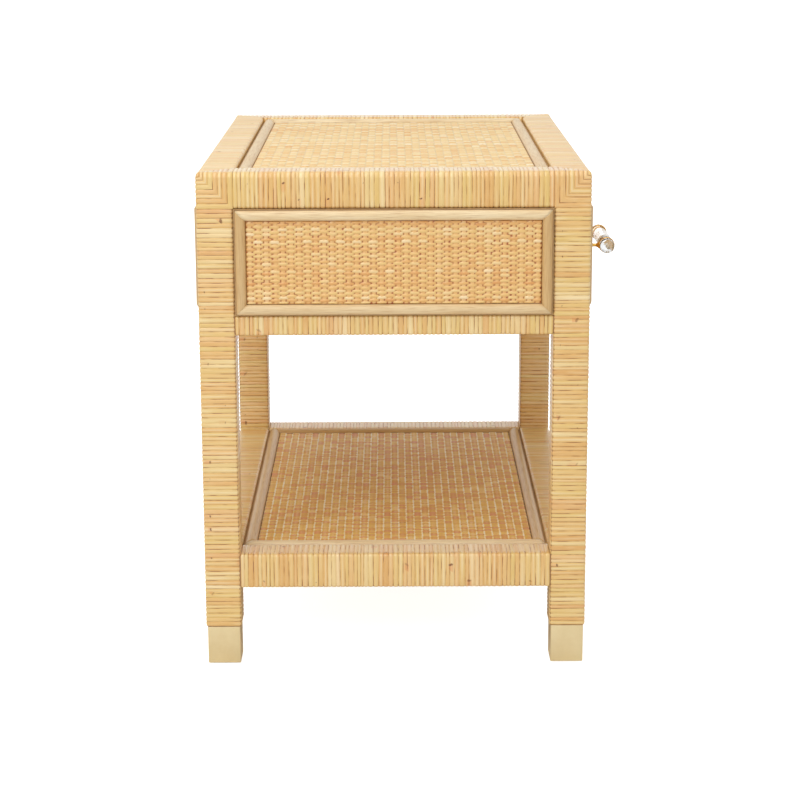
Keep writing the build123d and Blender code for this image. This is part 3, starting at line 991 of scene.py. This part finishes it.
# Brass feet.
capShape = {
    "radius": 1.6 * mm,
    # How far the side is drawn in, and how high, in millimetres.
    "profile": ((1.2, 0.0), (0.35, 0.3), (0.0, 1.2), (0.0, 24.0), (0.0, 46.6), (0.3, 47.6), (0.9, 48.0),
                (1.3, 47.8)),
}


def makeFeet():
    # A rounded square carried up the cap's side, drawn in at the bottom edge and at the rim.
    low = cadSpan("foot_caps")[0]
    half = (legSize - 2 * (low[0] - frameLow[0])) / 2
    outline, normals, walk = roundedPath(half, half, [capShape["radius"]] * 4)
    inset, up = (np.array(capShape["profile"]) * mm).T
    flat = outline - normals * inset[:, None, None]
    rise = (low[2] + up)[:, None, None] * axisZ
    caps = []
    for wrapLow, wrapHigh in wrapBoxes.values():
        middle = (wrapLow + wrapHigh) / 2 * (1, 1, 0)
        points = middle + rise + flat[..., :1] * axisX + flat[..., 1:] * axisY
        caps.append(closeEnds(patch(points, spread(walk[None, :], up[:, None]), wrapCols=True), points))
    addPiece("brass_feet", caps, metals["satinBrass"], "foot_caps")


makeFeet()


# Pulls.
def turned(centre, axis, profile, steps):
    # A profile of (radius, distance along the axis) turned round the axis.
    a = np.cross(axis, axisZ if abs(axis @ axisZ) < 0.9 else axisX)
    b = np.cross(axis, a)
    profile = np.array(profile)
    angle = np.linspace(0, 2 * np.pi, steps, endpoint=False)
    ring = np.cos(angle)[:, None] * a + np.sin(angle)[:, None] * b
    points = centre + profile[:, None, :1] * ring[None] + profile[:, None, 1:] * axis
    uv = spread(np.append(angle, 2 * np.pi)[None, :] * profile[:, 0].max(), profile[:, 1:2])
    return closeEnds(patch(points, uv, wrapCols=True), points)


pullShape = {
    "rodLength": 126 * mm,
    "rodRound": 0.7 * mm,
    "collarWide": 6 * mm,
    "collarEase": (0.45 * mm, 0.13 * mm),      # how far the collar's edge is cut, and its middle point
    "boreRoom": 0.02 * mm,
    "plug": (2.0 * mm, 6 * mm, 0.5 * mm),      # radius, depth in the rod, how far it stands out
    # Radius and height, then radius and distance before the rod, in millimetres.
    "post": ((5.6, 0.0), (6.5, 0.5), (6.5, 1.2), (5.4, 1.9), (4.0, 2.6), (2.9, 4.2), (2.5, 6.5), (2.1, 9.5)),
    "flare": ((2.0, 5.0), (2.3, 3.6), (3.2, 2.0), (4.4, 0.4), (4.6, -0.8)),
    "rodSteps": 56,
    "postSteps": 28,
    "plugSteps": 20,
}


def mirrored(profile):
    return [(r, -along) for r, along in profile[::-1]]


def makePulls():
    # Each pull is a turned rod with eased ends in two brackets: a hoop round the rod on a turned post.
    look = pullShape
    rodLow, rodHigh = cadSpan("pull_rods")
    bracketLow, bracketHigh = cadSpan("pull_brackets")
    radius = (rodHigh[2] - rodLow[2]) / 2
    middle = (rodLow + rodHigh) / 2
    collar = (bracketHigh[2] - bracketLow[2]) / 2
    half, w = look["rodLength"] / 2, look["collarWide"] / 2
    ease, roundSteps = look["rodRound"], look["rodSteps"]
    pullMiddle = rodHigh[0] - half - middle[0]
    postSpread = half - (bracketLow[0] - rodLow[0]) - w
    plugRadius, plugDepth, proud = look["plug"]
    dome = ((1.0, 0.5), (0.8, 0.9), (0.5, 1.0))      # shares of the radius and of how far it stands out
    plug = [(plugRadius, 0.0)] + [(r * plugRadius, plugDepth + up * proud) for r, up in dome]
    bore = radius + look["boreRoom"]
    cut, eased = look["collarEase"]
    rim = [(bore, -w), (collar - cut, -w), (collar - eased, eased - w), (collar, cut - w)]
    hoop = rim + [(collar, 0)] + mirrored(rim)
    end = [(radius, half - ease), (radius - 0.3 * ease, half - 0.3 * ease), (radius - ease, half)]
    rod = mirrored(end) + [(radius, -half / 3), (radius, half / 3)] + end
    gap = (bracketHigh[1] - middle[1] - radius) / mm
    post = np.array([*look["post"], *((r, gap - up) for r, up in look["flare"])]) * mm
    rods, plugs, brackets = [], [], []
    for sign in (-1, 1):
        centre = middle + axisX * sign * pullMiddle
        rods.append(turned(centre, axisX, rod, roundSteps))
        for way in (-1, 1):
            outward = axisX * way
            plugs.append(turned(centre + outward * (half - plugDepth), outward, plug, look["plugSteps"]))
            place = centre + outward * postSpread
            ring = turned(place, axisX, hoop, roundSteps)
            lining = turned(place, axisX, [(bore, w), (bore, -w)], roundSteps)
            ring["rings"], lining["rings"] = [], []
            foot = np.array([place[0], bracketHigh[1], place[2]])
            brackets += [weld(joinPatches([ring, lining])), turned(foot, -axisY, post, look["postSteps"])]
    addPiece("clear_rods", rods, clear, "pull_rods", "drawer")
    addPiece("rod_end_buttons", plugs, metals["paleBrass"], "pull_end_plugs", "drawer")
    addPiece("turned_brackets", brackets, metals["polishedBrass"], "pull_brackets", "drawer")


makePulls()
print("feet and pulls made")


# Wood and steel that the CAD already shapes. Name: light tone, dark tone, axis of the grain.
frameWood = ((176, 132, 84), (132, 90, 50))
drawerWood = ((222, 188, 140), (192, 150, 98))
woods = {"panelBoard": makeWood("panelBoard", (196, 158, 106), (164, 120, 70), "X")}
woods |= {"frameWood" + axis: makeWood("frameWood" + axis, *frameWood, axis) for axis in "XYZ"}
woods |= {"drawerWood" + axis: makeWood("drawerWood" + axis, *drawerWood, axis) for axis in "XY"}
# The start of a node's name, and what it is made of. Anything else is a panel's board.
finishes = {
    "leg_post": woods["frameWoodZ"],
    "runner_blocks": woods["frameWoodY"],
    "drawer_side": woods["drawerWoodY"],
    ("drawer_back", "drawer_bottom", "drawer_front_board"): woods["drawerWoodX"],
    ("slide_", "pull_screws"): metals["zincSteel"],
    "floor_glides": nylon,
}


def finishFor(node):
    if "_rail_" in node:
        return woods["frameWoodX" if node.endswith(("front", "back")) else "frameWoodY"]
    for start, finish in finishes.items():
        if node.startswith(start):
            return finish
    return woods["panelBoard"]


for name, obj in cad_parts.items():
    if not obj.hide_render:
        obj.data.materials.clear()
        obj.data.materials.append(finishFor(name))
print("CAD pieces finished")


# Floor, light and camera.
stageLook = {
    "floorHalf": 40.0,
    "floor": ((252, 252, 251), (248, 247, 246)),
    "glow": 0.84,      # the floor's own light where it is seen, which keeps the shadow on it faint
    "backdrop": 1.0,      # brightness of the plain surround where it is seen or mirrored
    "surround": 0.67,     # its strength as soft light
}
lampTarget = (0, 0, 0.35)
lamps = {      # place, size, power
    "overheadSoft": ((-0.8, 0.55, 2.75), 1.6, 16.0),
    "frontFill": ((-2.8, 1.0, 2.4), 2.0, 27.0),
}


def seenOnly(mirrored=False):
    # 1 for what is looked at directly or through clear rods, 0 for light that bounces softly.
    path = addNode("LightPath").outputs
    seen = calc("MAXIMUM", path["Is Camera Ray"], path["Is Transmission Ray"])
    return calc("MAXIMUM", seen, path["Is Glossy Ray"]) if mirrored else seen


def makeStage():
    size = stageLook["floorHalf"]
    mesh = bpy.data.meshes.new("studioFloor")
    outline = [(-size, -size, 0), (size, -size, 0), (size, size, 0), (-size, size, 0)]
    mesh.from_pydata(outline, [], [(0, 1, 2, 3)])
    material, sockets = startMaterial("studioFloor", {"Roughness": 0.9, "Emission Color": (1, 1, 1, 1)})
    colour = mixColour(noise(solidPlace(), 3.0), *stageLook["floor"])
    connect(sockets, {"Base Color": colour, "Emission Strength": times(seenOnly(), stageLook["glow"])})
    mesh.materials.append(material)
    floor = bpy.data.objects.new("studioFloor", mesh)
    scene.collection.objects.link(floor)
    scene.world = bpy.data.worlds.new("studio")
    scene.world.use_nodes = True
    drawing["tree"] = scene.world.node_tree
    seen = seenOnly(mirrored=True)
    strength = rescale(seen, 0.0, 1.0, stageLook["surround"], stageLook["backdrop"])
    connect(drawing["tree"].nodes["Background"].inputs, {"Color": (1, 1, 1, 1), "Strength": strength})


def addLamp(name, place, size, power):
    lamp = bpy.data.lights.new(name, "AREA")
    lamp.shape = "SQUARE"
    lamp.size = size
    lamp.energy = power
    obj = bpy.data.objects.new(name, lamp)
    obj.location = place
    obj.rotation_euler = (Vector(lampTarget) - Vector(place)).to_track_quat("-Z", "Y").to_euler()
    scene.collection.objects.link(obj)


cameraPlace = {
    "sensor": 36.0,
    "lens": 96.15,
    "offset": (-2.8583, 0.0020, 0.9304),   # from the point of the floor under the middle of the legs
    "yaw": -0.195,
    "pitch": 13.251,
    "roll": -0.208,
}


def makeCamera():
    look = cameraPlace
    yaw, pitch, roll = (math.radians(look[key]) for key in ("yaw", "pitch", "roll"))
    forward = Vector((math.cos(yaw) * math.cos(pitch), math.sin(yaw) * math.cos(pitch), -math.sin(pitch)))
    level = Vector((math.sin(yaw), -math.cos(yaw), 0))
    up = level.cross(forward)
    right = level * math.cos(roll) + up * math.sin(roll)
    above = up * math.cos(roll) - level * math.sin(roll)
    turn = Matrix((right, above, -forward)).transposed().to_4x4()
    data = bpy.data.cameras.new("studioCamera")
    data.sensor_width = look["sensor"]
    data.lens = look["lens"]
    camera = bpy.data.objects.new("studioCamera", data)
    ground = Vector((frameMiddle[0], frameMiddle[1], 0))
    camera.matrix_world = Matrix.Translation(ground + Vector(look["offset"])) @ turn
    scene.collection.objects.link(camera)
    scene.camera = camera


makeStage()
for name, settings in lamps.items():
    addLamp(name, *settings)
makeCamera()
scene.view_settings.view_transform = "Standard"
print("stage and camera ready")
